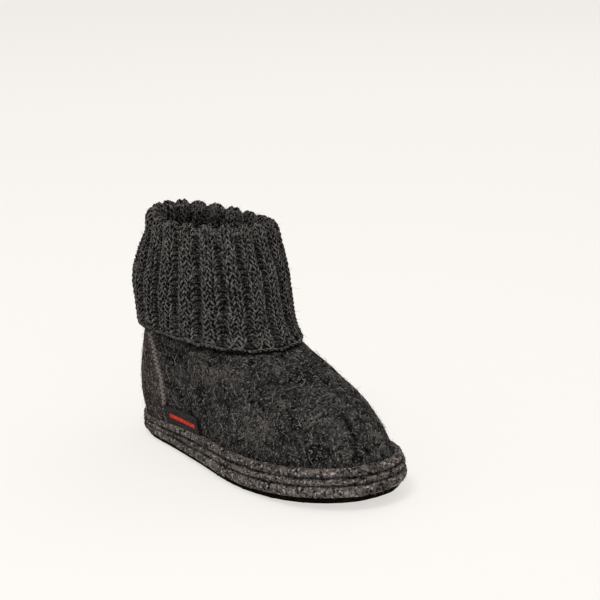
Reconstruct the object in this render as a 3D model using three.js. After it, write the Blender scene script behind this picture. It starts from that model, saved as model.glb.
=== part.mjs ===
import * as THREE from "three";
import { mergeVertices } from "three/addons/utils/BufferGeometryUtils.js";

// A child's boiled wool slipper boot for the right foot: a felt sole turned up into a ribbed band,
// a felt upper with two heel seams, and a rib knit cuff folded down round the ankle.
// Millimetres, +Z up, toe towards +X, outer side of the foot towards -Y.

// The last: the outside of the felt upper where the sole begins. The toe curls up from TOE_BEND, a
// share of the length, and the powers say how square the heel and toe are.
const LAST_LENGTH = 171;
const BALL_WIDTH = 65;
const TOE_SWING = 4;
const TOE_SPRING = 4;
const TOE_BEND = 0.6;
const HEEL_POWER = 2;
const TOE_POWER = 2.15;
const VAMP_HEIGHT = 56;
const COLLAR_HEIGHT = 68;

// Walls and clearances
const FELT_WALL = 2.6;
const KNIT_WALL = 2.6;
const GAP = 0.3;
const INSOLE_GAP = 1;

// The sole
const OUTSOLE_THICKNESS = 2.4;
const OUTSOLE_INSET = 1.2;
const PLATE_THICKNESS = 3.4;
const BAND_HEIGHT = 14.5;
const BAND_DEPTH = 5.2;
const INSOLE_THICKNESS = 3.2;

// The cuff: how far its fold stands above the collar, dips on the two sides and leans to the inner one
const CUFF_STAND = 55;
const RIM_DIP = 2.5;
const RIM_TILT = 3;
const RIB_COUNT = 20;
const RIB_DEPTH = 1.1;

// The heel seams and the woven tag. No other column comes within SEAM_CLEARANCE half widths.
const SEAM_PLACE = 40;
const SEAM_LEAN = 0.42;
const SEAM_RISE = 0.9;
const SEAM_START = 3;
const SEAM_HALF_WIDTH = 1.3;
const SEAM_CLEARANCE = 1.6;
const TAG_LENGTH = 34;
const TAG_HEIGHT = 8.5;
const TAG_THICKNESS = 0.9;
const TAG_SEAT = 0.45;
const TAG_LIFT = 1.3;

// How finely the surfaces are cut
const HALF_COLUMNS = 26;
const UPPER_ROWS = 17;
const INSIDE_ROWS = 11;
const CUFF_COLUMNS = RIB_COUNT * 4;
const BAND_INNER_ROWS = 4;
const TAG_COLUMNS = 9;
const STEP = 1e-3;
const BISECTIONS = 30;

const PLATE_BASE = OUTSOLE_THICKNESS + GAP;
const PLATE_TOP = PLATE_BASE + PLATE_THICKNESS;
const UPPER_BASE = PLATE_TOP + GAP;
const SEAM_TURN = Math.acos((2 * SEAM_PLACE) / LAST_LENGTH - 1);

// Half widths along the last, as shares of half the ball width
const LAST_STATIONS = [
  { along: 0.0, outer: 0.7, inner: 0.72 },
  { along: 0.18, outer: 0.73, inner: 0.75 },
  { along: 0.42, outer: 0.85, inner: 0.78 },
  { along: 0.66, outer: 1.02, inner: 0.96 },
  { along: 0.85, outer: 1.0, inner: 1.0 },
  { along: 1.0, outer: 0.96, inner: 1.0 },
];

// Rings of the upper from its lower edge to its collar. back and front are shares of the last's
// length, width of the ball width, backUp of the collar height, frontUp of the vamp height. heel and
// toe are the shares of the ring that its two round ends take up, and foot says how much of the
// last's waist the ring keeps.
const UPPER_RINGS = [
  { back: 0.0, front: 1.0, width: 1.0, backUp: 0, frontUp: 0, heel: 0.15, toe: 0.24, foot: 1 },
  { back: -0.037, front: 0.992, width: 1.0, backUp: 0.16, frontUp: 0.17, heel: 0.16, toe: 0.25, foot: 1 },
  { back: -0.052, front: 0.958, width: 0.99, backUp: 0.31, frontUp: 0.37, heel: 0.17, toe: 0.28, foot: 0.95 },
  { back: -0.046, front: 0.9, width: 0.97, backUp: 0.44, frontUp: 0.58, heel: 0.19, toe: 0.34, foot: 0.85 },
  { back: -0.031, front: 0.8, width: 0.94, backUp: 0.56, frontUp: 0.77, heel: 0.23, toe: 0.42, foot: 0.6 },
  { back: -0.019, front: 0.675, width: 0.92, backUp: 0.67, frontUp: 0.91, heel: 0.3, toe: 0.46, foot: 0.35 },
  { back: -0.009, front: 0.575, width: 0.92, backUp: 0.77, frontUp: 1.03, heel: 0.42, toe: 0.45, foot: 0.1 },
  { back: -0.004, front: 0.53, width: 0.925, backUp: 0.86, frontUp: 1.13, heel: 0.48, toe: 0.46, foot: 0 },
  { back: 0.0, front: 0.51, width: 0.93, backUp: 0.95, frontUp: 1.23, heel: 0.5, toe: 0.48, foot: 0 },
];

// The sole band's outer face from the floor side up. out is a share of the band's depth outside
// the upper, rise a share of the band's height. Two stitched grooves part its three ridges.
const BAND_PROFILE = [
  { out: 0.5, rise: 0.0 },
  { out: 0.84, rise: 0.07 },
  { out: 1.0, rise: 0.2 },
  { out: 0.97, rise: 0.36 },
  { out: 0.76, rise: 0.45 },
  { out: 0.9, rise: 0.53 },
  { out: 0.87, rise: 0.65 },
  { out: 0.62, rise: 0.71 },
  { out: 0.74, rise: 0.79 },
  { out: 0.69, rise: 0.92 },
  { out: 0.48, rise: 1.0 },
];
const BAND_HEEL_SHARE = 0.55;
const BAND_FULL_STATION = 0.6;

// The cuff's knit, from its seam on the collar up the inner layer, over the rim and down the flap.
// length, width and shift are shares of the collar's length and width, backUp and frontUp of
// the cuff's stand, ribs of the rib depth. seat draws a row to the line on which the felt wall runs
// out at the collar, and hug to the felt under the hem.
const CUFF_FOLDS = [
  { length: 0.97, width: 0.95, shift: 0.0, backUp: 0.0, frontUp: 0.0, seat: 1, hug: 0, ribs: 0.2 },
  { length: 0.95, width: 0.94, shift: 0.0, backUp: 0.09, frontUp: 0.05, seat: 0.9, hug: 0, ribs: 0.5 },
  { length: 0.86, width: 0.91, shift: 0.0, backUp: 0.35, frontUp: 0.25, seat: 0, hug: 0, ribs: 0.8 },
  { length: 0.77, width: 0.87, shift: 0.0, backUp: 0.7, frontUp: 0.58, seat: 0, hug: 0, ribs: 0.9 },
  { length: 0.72, width: 0.87, shift: 0.01, backUp: 0.88, frontUp: 0.76, seat: 0, hug: 0, ribs: 1.0 },
  { length: 0.76, width: 0.93, shift: 0.01, backUp: 0.94, frontUp: 0.82, seat: 0, hug: 0, ribs: 1.1 },
  { length: 0.81, width: 1.01, shift: 0.01, backUp: 0.89, frontUp: 0.78, seat: 0, hug: 0, ribs: 1.1 },
  { length: 0.83, width: 1.06, shift: 0.025, backUp: 0.76, frontUp: 0.64, seat: 0, hug: 0, ribs: 1.0 },
  { length: 1.0, width: 1.1, shift: 0.012, backUp: 0.56, frontUp: 0.4, seat: 0, hug: 0, ribs: 1.0 },
  { length: 1.09, width: 1.13, shift: 0.005, backUp: 0.29, frontUp: 0.11, seat: 0, hug: 0, ribs: 1.0 },
  { length: 1.07, width: 1.13, shift: 0.012, backUp: 0.04, frontUp: -0.06, seat: 0, hug: 0.4, ribs: 1.0 },
  { length: 1.04, width: 1.08, shift: 0.0, backUp: -0.09, frontUp: -0.15, seat: 0, hug: 1, ribs: 1.0 },
];

// Where the flap's hem lies on the upper, as climbs from the sole at 0 to the collar at 1
const HEM_CLIMBS = { front: 0.73, side: 0.79, back: 0.78 };

const smooth = (value) => {
  const share = Math.min(1, Math.max(0, value));
  return share * share * (3 - 2 * share);
};

// The row of a table at a position that may lie between two rows, on a smooth curve through them
function rowAt(table, position) {
  const last = table.length - 1;
  const index = Math.min(last - 1, Math.max(0, Math.floor(position)));
  const share = position - index;
  const [before, start, end, after] = [index - 1, index, index + 1, index + 2].map(
    (i) => table[Math.min(last, Math.max(0, i))],
  );
  const row = {};
  for (const column of Object.keys(start)) {
    const slopeIn = (end[column] - before[column]) / 2;
    const slopeOut = (after[column] - start[column]) / 2;
    const square = share * share;
    const cube = square * share;
    row[column] =
      start[column] * (2 * cube - 3 * square + 1) +
      slopeIn * (cube - 2 * square + share) +
      end[column] * (3 * square - 2 * cube) +
      slopeOut * (cube - square);
  }
  return row;
}

// A table's row where its column has the given value
function rowWhere(table, column, value) {
  let index = 0;
  while (index < table.length - 2 && table[index + 1][column] <= value) index += 1;
  const span = table[index + 1][column] - table[index][column];
  return rowAt(table, index + (value - table[index][column]) / span);
}

// How far a ring's round end has opened at a distance from that end
function roundEnd(distance, zone, power) {
  if (distance >= zone) return 1;
  return Math.pow(1 - Math.pow((zone - distance) / zone, power), 1 / power);
}

// How far the toe curls up off the floor at a place along the last
const toeLift = (x) =>
  2 * TOE_SPRING * smooth((x / LAST_LENGTH - TOE_BEND) / (2 * (1 - TOE_BEND)));

// A point of the upper's outside. angle goes round from the toe over the inner side to the heel,
// climb from 0 at the lower edge to 1 at the collar.
function upperOutside(angle, climb) {
  const row = rowAt(UPPER_RINGS, climb * (UPPER_RINGS.length - 1));
  const along = (1 + Math.cos(angle)) / 2;
  const station = rowWhere(LAST_STATIONS, "along", along);
  const side = Math.sin(angle) >= 0 ? "inner" : "outer";
  const waist = 1 + row.foot * (station[side] - 1);
  const ends = roundEnd(along, row.heel, HEEL_POWER) * roundEnd(1 - along, row.toe, TOE_POWER);
  const halfWidth = (BALL_WIDTH / 2) * row.width * waist * ends;
  const x = LAST_LENGTH * (row.back + (row.front - row.back) * along);
  const y = Math.sign(Math.sin(angle)) * halfWidth + TOE_SWING * row.foot * smooth(2 * along - 1);
  const backZ = row.backUp * COLLAR_HEIGHT;
  const frontZ = row.frontUp * VAMP_HEIGHT;
  return new THREE.Vector3(x, y, UPPER_BASE + backZ + (frontZ - backZ) * along + toeLift(x));
}

// The angle of a column of the upper, which leans with the heel seams as it climbs
const columnAngle = (turn, climb) => turn - SEAM_LEAN * climb ** 3 * Math.sin(turn);

// The direction that a surface faces at a point, from its neighbours along both ways
function facing(surface, turn, climb) {
  const low = Math.max(0, climb - STEP);
  const high = Math.min(1, climb + STEP);
  const round = surface(turn + STEP, climb).sub(surface(turn - STEP, climb));
  const up = surface(turn, high).sub(surface(turn, low));
  return round.cross(up).normalize();
}

// The upper's surface moved out, or in where out is negative
function upperShell(angle, climb, out) {
  return upperOutside(angle, climb).addScaledVector(facing(upperOutside, angle, climb), out);
}

// The turn that a length along the sole's edge takes up beside a heel seam
function turnOverLength(length) {
  return (length * STEP) / upperOutside(SEAM_TURN, 0).distanceTo(upperOutside(SEAM_TURN + STEP, 0));
}

// Turns round a ring, with extra columns on the flanks and crests of the seams. They mirror about 0.
function lastTurns() {
  const half = turnOverLength(SEAM_HALF_WIDTH);
  const seams = [SEAM_TURN, 2 * Math.PI - SEAM_TURN];
  const clearance = SEAM_CLEARANCE * half;
  const even = Array.from({ length: 2 * HALF_COLUMNS }, (_, i) => (Math.PI * i) / HALF_COLUMNS);
  const clear = even.filter((turn) => seams.every((seam) => Math.abs(turn - seam) > clearance));
  const raised = seams.flatMap((seam) => [-1, -0.5, 0, 0.5, 1].map((share) => seam + share * half));
  return [...clear, ...raised].sort((a, b) => a - b);
}

// A closed mesh from rings of points. A looped shell joins its last ring to its first, and an
// unlooped one closes both end rings with strips from side to side.
function ringSolid(rings, looped) {
  const count = rings[0].length;
  const positions = rings.flat().flatMap((point) => [point.x, point.y, point.z]);
  const indices = [];
  const quad = (a, b, c, d) => indices.push(a, b, c, a, c, d);
  const bands = looped ? rings.length : rings.length - 1;
  for (let r = 0; r < bands; r += 1) {
    const lower = r * count;
    const upper = ((r + 1) % rings.length) * count;
    for (let i = 0; i < count; i += 1) {
      const next = (i + 1) % count;
      quad(lower + i, lower + next, upper + next, upper + i);
    }
  }
  if (!looped) {
    capStrips(0, count, false, indices);
    capStrips((rings.length - 1) * count, count, true, indices);
  }
  return closedGeometry(positions, indices);
}

// Strips across a ring whose points mirror about its first one
function capStrips(first, count, up, indices) {
  const half = count / 2;
  const face = (a, b, c) => indices.push(...(up ? [a, b, c] : [a, c, b]));
  for (let i = 0; i < half; i += 1) {
    const left = first + i;
    const leftNext = first + i + 1;
    const right = first + ((count - i) % count);
    const rightNext = first + count - i - 1;
    if (i > 0) face(left, leftNext, right);
    if (i < half - 1) face(right, leftNext, rightNext);
  }
}

// A geometry whose faces point out
function closedGeometry(positions, indices) {
  const point = (i) => new THREE.Vector3().fromArray(positions, 3 * i);
  let volume = 0;
  for (let i = 0; i < indices.length; i += 3) {
    const [a, b, c] = [point(indices[i]), point(indices[i + 1]), point(indices[i + 2])];
    volume += a.dot(b.cross(c));
  }
  const order = volume < 0 ? indices.toReversed() : indices;
  const geometry = new THREE.BufferGeometry();
  geometry.setAttribute("position", new THREE.Float32BufferAttribute(positions, 3));
  geometry.setIndex(order);
  const merged = mergeVertices(geometry, 1e-4);
  merged.computeVertexNormals();
  return merged;
}

// The climb at which the upper reaches a height over the sole's own floor
function climbAtHeight(angle, height) {
  let low = 0;
  let high = 1;
  for (let i = 0; i < BISECTIONS; i += 1) {
    const middle = (low + high) / 2;
    const point = upperOutside(angle, middle);
    if (point.z - toeLift(point.x) < height) low = middle;
    else high = middle;
  }
  return low;
}

// A point beside the upper at a height over the sole's own floor, moved out in plan
function besideUpper(angle, out, height) {
  const climb = climbAtHeight(angle, height);
  const face = facing(upperOutside, angle, climb).setZ(0).normalize();
  const point = upperOutside(angle, climb).addScaledVector(face, out);
  return point.setZ(height + toeLift(point.x));
}

// How full the band is at a turn: it is lower and thinner round the heel
function bandShare(turn) {
  const along = (1 + Math.cos(turn)) / 2;
  return BAND_HEEL_SHARE + (1 - BAND_HEEL_SHARE) * smooth(along / BAND_FULL_STATION);
}

const bandHeight = (turn) => BAND_HEIGHT * bandShare(turn);
const bandDepth = (turn) => BAND_DEPTH * bandShare(turn);

// A raised heel seam on each side, which sinks under the band
function seamRise(turn, climb) {
  const half = turnOverLength(SEAM_HALF_WIDTH);
  const offsets = [SEAM_TURN, 2 * Math.PI - SEAM_TURN].map((seam) => Math.abs(turn - seam));
  const point = upperOutside(columnAngle(turn, climb), climb);
  const overBand = point.z - toeLift(point.x) - PLATE_BASE - bandHeight(turn);
  return SEAM_RISE * smooth(1 - Math.min(...offsets) / half) * smooth(overBand / SEAM_START - 1);
}

// A point of the upper's inside, whose lower edge is level with the outside's
function upperInside(angle, climb) {
  const point = upperShell(angle, climb, -FELT_WALL);
  return climb > 0 ? point : point.setZ(upperOutside(angle, 0).z);
}

// The upper: outside rings from its lower edge to the collar, then inside rings back down
function upperGeometry() {
  const turns = lastTurns();
  const climbs = (rows) => Array.from({ length: rows }, (_, i) => i / (rows - 1));
  const outside = climbs(UPPER_ROWS).map((climb) =>
    turns.map((turn) => upperShell(columnAngle(turn, climb), climb, seamRise(turn, climb))),
  );
  const inside = climbs(INSIDE_ROWS).map((climb) =>
    turns.map((turn) => upperInside(columnAngle(turn, 1 - climb), 1 - climb)),
  );
  return ringSolid([...outside, ...inside], true);
}

// The felt sole: a tray whose turned up wall is the ribbed band
function feltSoleGeometry() {
  const turns = lastTurns();
  const face = (turn, row) =>
    besideUpper(turn, row.out * bandDepth(turn), PLATE_BASE + row.rise * bandHeight(turn));
  const wall = (turn, share) =>
    besideUpper(turn, GAP, PLATE_TOP + share * (PLATE_BASE + bandHeight(turn) - PLATE_TOP));
  const shares = Array.from({ length: BAND_INNER_ROWS }, (_, i) => 1 - i / (BAND_INNER_ROWS - 1));
  const outer = BAND_PROFILE.map((row) => turns.map((turn) => face(turn, row)));
  const inner = shares.map((share) => turns.map((turn) => wall(turn, share)));
  return ringSolid([...outer, ...inner], false);
}

// A flat layer under the foot, from a height up, out to a distance from the upper's outside
function layerGeometry(base, thickness, edge) {
  const ring = (height) => lastTurns().map((turn) => besideUpper(turn, edge(turn), height));
  return ringSolid([ring(base), ring(base + thickness)], false);
}

function outsoleGeometry() {
  const edge = (turn) => BAND_PROFILE[0].out * bandDepth(turn) - OUTSOLE_INSET;
  return layerGeometry(0, OUTSOLE_THICKNESS, edge);
}

function insoleGeometry() {
  return layerGeometry(PLATE_TOP + GAP, INSOLE_THICKNESS, () => -FELT_WALL - INSOLE_GAP);
}

// The climb of the flap's hem on the upper, straighter along the sides than at front and back
function hemClimb(angle) {
  const along = (1 + Math.cos(angle)) / 2;
  const ends = HEM_CLIMBS.back + (HEM_CLIMBS.front - HEM_CLIMBS.back) * along;
  return ends + (HEM_CLIMBS.side - ends) * Math.sin(angle) ** 2;
}

// A point on the line on which the felt wall's middle runs out past the collar
function beyondCollar(angle, reach) {
  const wall = (climb) => upperShell(angle, climb, -FELT_WALL / 2);
  const direction = wall(1).sub(wall(1 - STEP)).normalize();
  return wall(1).addScaledVector(direction, reach);
}

// The middle of the cuff's knit. fold runs from 0 at its seam to 1 at the flap's hem.
function cuffMiddle(angle, fold) {
  const row = rowAt(CUFF_FOLDS, fold * (CUFF_FOLDS.length - 1));
  const collar = UPPER_RINGS.at(-1);
  const length = LAST_LENGTH * (collar.front - collar.back);
  const centre = LAST_LENGTH * collar.back + length * (0.5 + row.shift);
  const along = (1 + Math.cos(angle)) / 2;
  const rise = CUFF_STAND * (row.backUp + (row.frontUp - row.backUp) * along);
  const x = centre + (length / 2) * row.length * Math.cos(angle);
  const y = (BALL_WIDTH / 2) * collar.width * row.width * Math.sin(angle);
  const dip = RIM_DIP * Math.sin(angle) ** 2 + RIM_TILT * Math.sin(angle);
  const z = upperOutside(angle, 1).z + rise - smooth(row.backUp) * dip;
  const seat = beyondCollar(angle, GAP + rise);
  const hem = upperShell(angle, hemClimb(angle), SEAM_RISE + GAP + (RIB_DEPTH + KNIT_WALL) / 2);
  return new THREE.Vector3(x, y, z).lerp(seat, row.seat).lerp(hem, row.hug);
}

// The cuff's surface at a distance from the middle of its knit, with its ribs
function cuffSurface(angle, fold, out) {
  const row = rowAt(CUFF_FOLDS, fold * (CUFF_FOLDS.length - 1));
  const rib = (RIB_DEPTH / 2) * row.ribs * Math.cos(RIB_COUNT * angle);
  return cuffMiddle(angle, fold).addScaledVector(facing(cuffMiddle, angle, fold), out + rib);
}

function cuffGeometry() {
  const angles = Array.from({ length: CUFF_COLUMNS }, (_, i) => (2 * Math.PI * i) / CUFF_COLUMNS);
  const folds = CUFF_FOLDS.map((_, i) => i / (CUFF_FOLDS.length - 1));
  const face = (fold, out) => angles.map((angle) => cuffSurface(angle, fold, out));
  const front = folds.map((fold) => face(fold, -KNIT_WALL / 2));
  const back = folds.toReversed().map((fold) => face(fold, KNIT_WALL / 2));
  return ringSolid([...front, ...back], true);
}

// The woven tag: sewn in beside the outer heel seam, its free end standing a little off the felt
function tagGeometry() {
  const start = 2 * Math.PI - SEAM_TURN + turnOverLength(SEAM_HALF_WIDTH);
  const ring = (share) => {
    const turn = start + turnOverLength(share * TAG_LENGTH);
    const foot = PLATE_BASE + bandHeight(turn) + GAP;
    const lift = TAG_SEAT + TAG_LIFT * share * share;
    const corner = (height, out) => upperShell(turn, climbAtHeight(turn, foot + height), lift + out);
    const heights = [0, 0.5, 1].map((part) => part * TAG_HEIGHT);
    const outer = heights.map((height) => corner(height, TAG_THICKNESS));
    const inner = heights.toReversed().map((height) => corner(height, 0));
    return [...outer, ...inner];
  };
  const rings = Array.from({ length: TAG_COLUMNS }, (_, i) => ring(i / (TAG_COLUMNS - 1)));
  return ringSolid(rings, false);
}

const FINISHES = {
  outsole: { color: 0x1d1b1a, roughness: 0.9 },
  felt_sole: { color: 0x4a4341, roughness: 1 },
  insole: { color: 0x3b3836, roughness: 1 },
  upper: { color: 0x353231, roughness: 1 },
  cuff: { color: 0x2b2928, roughness: 1 },
  side_tag: { color: 0x3a1a18, roughness: 0.8 },
};

function piece(name, geometry) {
  const mesh = new THREE.Mesh(geometry, new THREE.MeshStandardMaterial({ ...FINISHES[name], metalness: 0 }));
  mesh.name = name;
  return mesh;
}

const slipper = new THREE.Group();
slipper.add(
  piece("outsole", outsoleGeometry()),
  piece("felt_sole", feltSoleGeometry()),
  piece("insole", insoleGeometry()),
  piece("upper", upperGeometry()),
  piece("cuff", cuffGeometry()),
  piece("side_tag", tagGeometry()),
);

// The origin is on the floor, in the middle of the slipper's outline
const middle = new THREE.Box3().setFromObject(slipper).getCenter(new THREE.Vector3());
slipper.position.set(-middle.x, -middle.y, 0);

export default slipper;
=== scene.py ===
"""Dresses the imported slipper: boiled wool felt, a rib knit cuff in real yarn loops, seams, tag and stray fibres."""

import math

import bpy
import numpy as np
from mathutils import Matrix, Vector, noise
from mathutils.bvhtree import BVHTree


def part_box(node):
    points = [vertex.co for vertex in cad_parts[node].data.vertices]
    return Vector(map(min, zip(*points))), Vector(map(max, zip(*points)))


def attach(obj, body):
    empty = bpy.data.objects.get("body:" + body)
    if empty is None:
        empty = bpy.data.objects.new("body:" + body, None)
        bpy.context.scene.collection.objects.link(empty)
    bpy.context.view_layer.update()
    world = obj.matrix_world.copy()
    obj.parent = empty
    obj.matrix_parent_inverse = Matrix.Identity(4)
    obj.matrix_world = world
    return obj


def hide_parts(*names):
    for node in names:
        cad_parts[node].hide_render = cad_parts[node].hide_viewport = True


bl_info = {
    "name": "Boiled Wool Slipper",
    "version": (1, 0, 0),
    "blender": (4, 5, 0),
    "location": "3D View > Sidebar > Slipper",
    "description": "Felt, rib knit, stitching and fibres for a child's boiled wool slipper",
    "category": "Object",
}

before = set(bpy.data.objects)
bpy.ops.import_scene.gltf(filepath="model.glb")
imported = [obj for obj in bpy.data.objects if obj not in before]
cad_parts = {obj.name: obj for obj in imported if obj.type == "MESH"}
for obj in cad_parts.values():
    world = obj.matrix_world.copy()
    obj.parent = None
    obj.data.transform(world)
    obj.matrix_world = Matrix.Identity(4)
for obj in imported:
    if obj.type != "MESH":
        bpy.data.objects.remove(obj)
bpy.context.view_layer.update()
MM = 0.001

# The last: where its heel and middle line lie in the slipper's frame, and its length
HEEL_X = -83.65 * MM
MIDDLE_Y = -1.2 * MM
LAST_LENGTH = 171 * MM
TOE_SPRING = 4 * MM
TOE_BEND = 0.6

# The sole band: its foot, its height at the toe, and the share of it that the heel keeps
BAND_FOOT = 2.7 * MM
BAND_HEIGHT = 14.5 * MM
BAND_HEEL_SHARE = 0.55
BAND_FULL_STATION = 0.6
GROOVE_RISES = (0.45, 0.71)

# The collar that the cuff is knitted on to, and how far the cuff's fold stands above it
COLLAR_LENGTH = 87.2 * MM
COLLAR_HALF_WIDTH = 30.2 * MM
COLLAR_BACK = 71 * MM
COLLAR_FRONT = 75.3 * MM
CUFF_STAND = 55 * MM
RIM_DIP = 2.5 * MM
RIM_TILT = 2 * MM
HEM_BACK = 60 * MM
HEM_SIDE = 65 * MM
HEM_FRONT = 63 * MM
HEM_LIE = 3.9 * MM
HEM_FRONT_SNUG = 1.5 * MM
HEM_BACK_SNUG = 1.8 * MM

# The knit from its seam on the collar up the inner layer, over the rim and down the flap. length,
# width and shift are shares of the collar's length and half width, back and front of the stand,
# ribs of the rib depth, and hug draws a row to the felt under the hem.
CUFF_COLUMNS = ("length", "width", "shift", "back", "front", "hug", "ribs")
CUFF_FOLDS = np.array([
    (0.97, 0.95, 0.0, 0.0, 0.0, 0.0, 0.4),
    (0.95, 0.94, 0.0, 0.09, 0.05, 0.0, 0.6),
    (0.86, 0.91, 0.0, 0.35, 0.25, 0.0, 0.8),
    (0.77, 0.87, 0.0, 0.7, 0.58, 0.0, 1.0),
    (0.72, 0.87, 0.01, 0.88, 0.76, 0.0, 1.2),
    (0.76, 0.93, 0.01, 0.94, 0.82, 0.0, 1.4),
    (0.81, 1.01, 0.01, 0.89, 0.78, 0.0, 1.3),
    (0.83, 1.06, 0.025, 0.76, 0.64, 0.0, 1.1),
    (1.0, 1.1, 0.012, 0.56, 0.4, 0.0, 1.0),
    (1.1, 1.145, 0.0, 0.29, 0.11, 0.0, 1.0),
    (1.07, 1.12, 0.012, 0.04, -0.06, 0.5, 0.9),
    (1.04, 1.08, 0.0, -0.09, -0.15, 1.0, 0.55),
])
RIB_COUNT = 20
WALES = 4 * RIB_COUNT
INNER_COURSES = 14
RIM_COURSES = 7
FLAP_COURSES = 21
COURSES = INNER_COURSES + RIM_COURSES + FLAP_COURSES

# The camera that the photograph was taken with: its direction, distance and focal length in
# pixels, and the pixel on which its target falls
PICTURE = 600
CAMERA_AZIMUTH = math.radians(53)
CAMERA_RISE = math.radians(16.5)
CAMERA_DISTANCE = 0.9
CAMERA_FOCAL = 1773
TARGET = Vector((1.35, -1.2, 50)) * MM
TARGET_PIXEL = (260, 366)
SENSOR = 36


class SlipperSizes(bpy.types.PropertyGroup):
    """Sizes of the yarn, the felt's relief and the stitches"""

    yarn_radius: bpy.props.FloatProperty(
        name="Yarn radius", description="Half the thickness of the cuff's yarn",
        default=0.6 * MM, min=0.3 * MM, max=1.2 * MM, subtype="DISTANCE", unit="LENGTH")
    rib_depth: bpy.props.FloatProperty(
        name="Rib depth", description="How far the knit ribs stand out from the purl between them",
        default=2.1 * MM, min=0, max=4 * MM, subtype="DISTANCE", unit="LENGTH")
    stitch_depth: bpy.props.FloatProperty(
        name="Loop depth", description="How far a yarn loop passes in and out of the knit",
        default=0.65 * MM, min=0, max=1.5 * MM, subtype="DISTANCE", unit="LENGTH")
    felt_relief: bpy.props.FloatProperty(
        name="Felt relief", description="Height of the upper's soft unevenness",
        default=0.7 * MM, min=0, max=3 * MM, subtype="DISTANCE", unit="LENGTH")
    sole_relief: bpy.props.FloatProperty(
        name="Sole relief", description="Height of the lumps in the sole's coarse felt",
        default=0.55 * MM, min=0, max=2 * MM, subtype="DISTANCE", unit="LENGTH")
    groove_depth: bpy.props.FloatProperty(
        name="Groove depth", description="How far the stitched grooves sink into the sole band",
        default=0.9 * MM, min=0, max=2 * MM, subtype="DISTANCE", unit="LENGTH")
    seam_pitch: bpy.props.FloatProperty(
        name="Seam pitch", description="Distance between the stitches over the heel seams",
        default=1.1 * MM, min=0.5 * MM, max=5 * MM, subtype="DISTANCE", unit="LENGTH")
    groove_pitch: bpy.props.FloatProperty(
        name="Groove pitch", description="Distance between the stitches in the sole's grooves",
        default=4 * MM, min=1 * MM, max=10 * MM, subtype="DISTANCE", unit="LENGTH")
    fibre_length: bpy.props.FloatProperty(
        name="Fibre length", description="Mean length of the wool fibres that stand off the surface",
        default=2.6 * MM, min=0.5 * MM, max=8 * MM, subtype="DISTANCE", unit="LENGTH")


class SlipperColours(bpy.types.PropertyGroup):
    """Colours of the wool, the thread, the tag and the outsole"""

    upper: bpy.props.FloatVectorProperty(
        name="Upper", description="Dark wool of the upper", subtype="COLOR", size=3,
        default=(0.013, 0.0122, 0.0117), min=0, max=1)
    upper_fibre: bpy.props.FloatVectorProperty(
        name="Upper fibres", description="Light fibres in the upper's felt", subtype="COLOR", size=3,
        default=(0.225, 0.213, 0.204), min=0, max=1)
    heel: bpy.props.FloatVectorProperty(
        name="Heel panel", description="Browner wool of the heel panel", subtype="COLOR", size=3,
        default=(0.062, 0.035, 0.03), min=0, max=1)
    sole: bpy.props.FloatVectorProperty(
        name="Sole felt", description="Dark wool of the sole band", subtype="COLOR", size=3,
        default=(0.1, 0.083, 0.075), min=0, max=1)
    sole_tint: bpy.props.FloatVectorProperty(
        name="Sole tint", description="Reddish wool in patches of the sole band", subtype="COLOR", size=3,
        default=(0.11, 0.07, 0.066), min=0, max=1)
    sole_fibre: bpy.props.FloatVectorProperty(
        name="Sole fibres", description="Light fibres in the sole band", subtype="COLOR", size=3,
        default=(0.58, 0.53, 0.495), min=0, max=1)
    yarn: bpy.props.FloatVectorProperty(
        name="Yarn", description="Dark yarn of the cuff", subtype="COLOR", size=3,
        default=(0.043, 0.04, 0.0385), min=0, max=1)
    yarn_fibre: bpy.props.FloatVectorProperty(
        name="Yarn fibres", description="Light fibres in the yarn", subtype="COLOR", size=3,
        default=(0.28, 0.2645, 0.2535), min=0, max=1)
    thread: bpy.props.FloatVectorProperty(
        name="Thread", description="Thread over the heel seams", subtype="COLOR", size=3,
        default=(0.27, 0.23, 0.205), min=0, max=1)
    tag: bpy.props.FloatVectorProperty(
        name="Tag", description="Ground of the woven tag", subtype="COLOR", size=3,
        default=(0.012, 0.01, 0.01), min=0, max=1)
    stripe: bpy.props.FloatVectorProperty(
        name="Stripe", description="Plain stripe along the woven tag", subtype="COLOR", size=3,
        default=(0.72, 0.05, 0.03), min=0, max=1)
    outsole: bpy.props.FloatVectorProperty(
        name="Outsole", description="Rubbery underside of the sole", subtype="COLOR", size=3,
        default=(0.004, 0.003, 0.002), min=0, max=1)
    floor: bpy.props.FloatVectorProperty(
        name="Floor", description="Pale floor and backdrop", subtype="COLOR", size=3,
        default=(0.34, 0.333, 0.322), min=0, max=1)
    floor_glow: bpy.props.FloatVectorProperty(
        name="Floor glow", description="Light that the pale sweep gives back evenly", subtype="COLOR", size=3,
        default=(1, 0.97, 0.935), min=0, max=1)


class Socket:
    """A shader socket, on which sums and products make Math nodes."""

    def __init__(self, shader, output):
        self.shader = shader
        self.output = output

    def math(self, operation, *values):
        return self.shader.node("ShaderNodeMath", {"operation": operation}, dict(enumerate(values)))

    def __add__(self, other):
        return self.math("ADD", self, other)

    def __mul__(self, other):
        return self.math("MULTIPLY", self, other)

    def __sub__(self, other):
        return self.math("SUBTRACT", self, other)

    def __rsub__(self, other):
        return self.math("SUBTRACT", other, self)

    def __abs__(self):
        return self.math("ABSOLUTE", self)

    __radd__ = __add__
    __rmul__ = __mul__

    def held(self):
        """The value held between 0 and 1."""
        return self.shader.node("ShaderNodeClamp", {}, {"Value": self})

    def larger(self, other):
        return self.math("MAXIMUM", self, other)

    def sine(self):
        return self.math("SINE", self)


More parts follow.
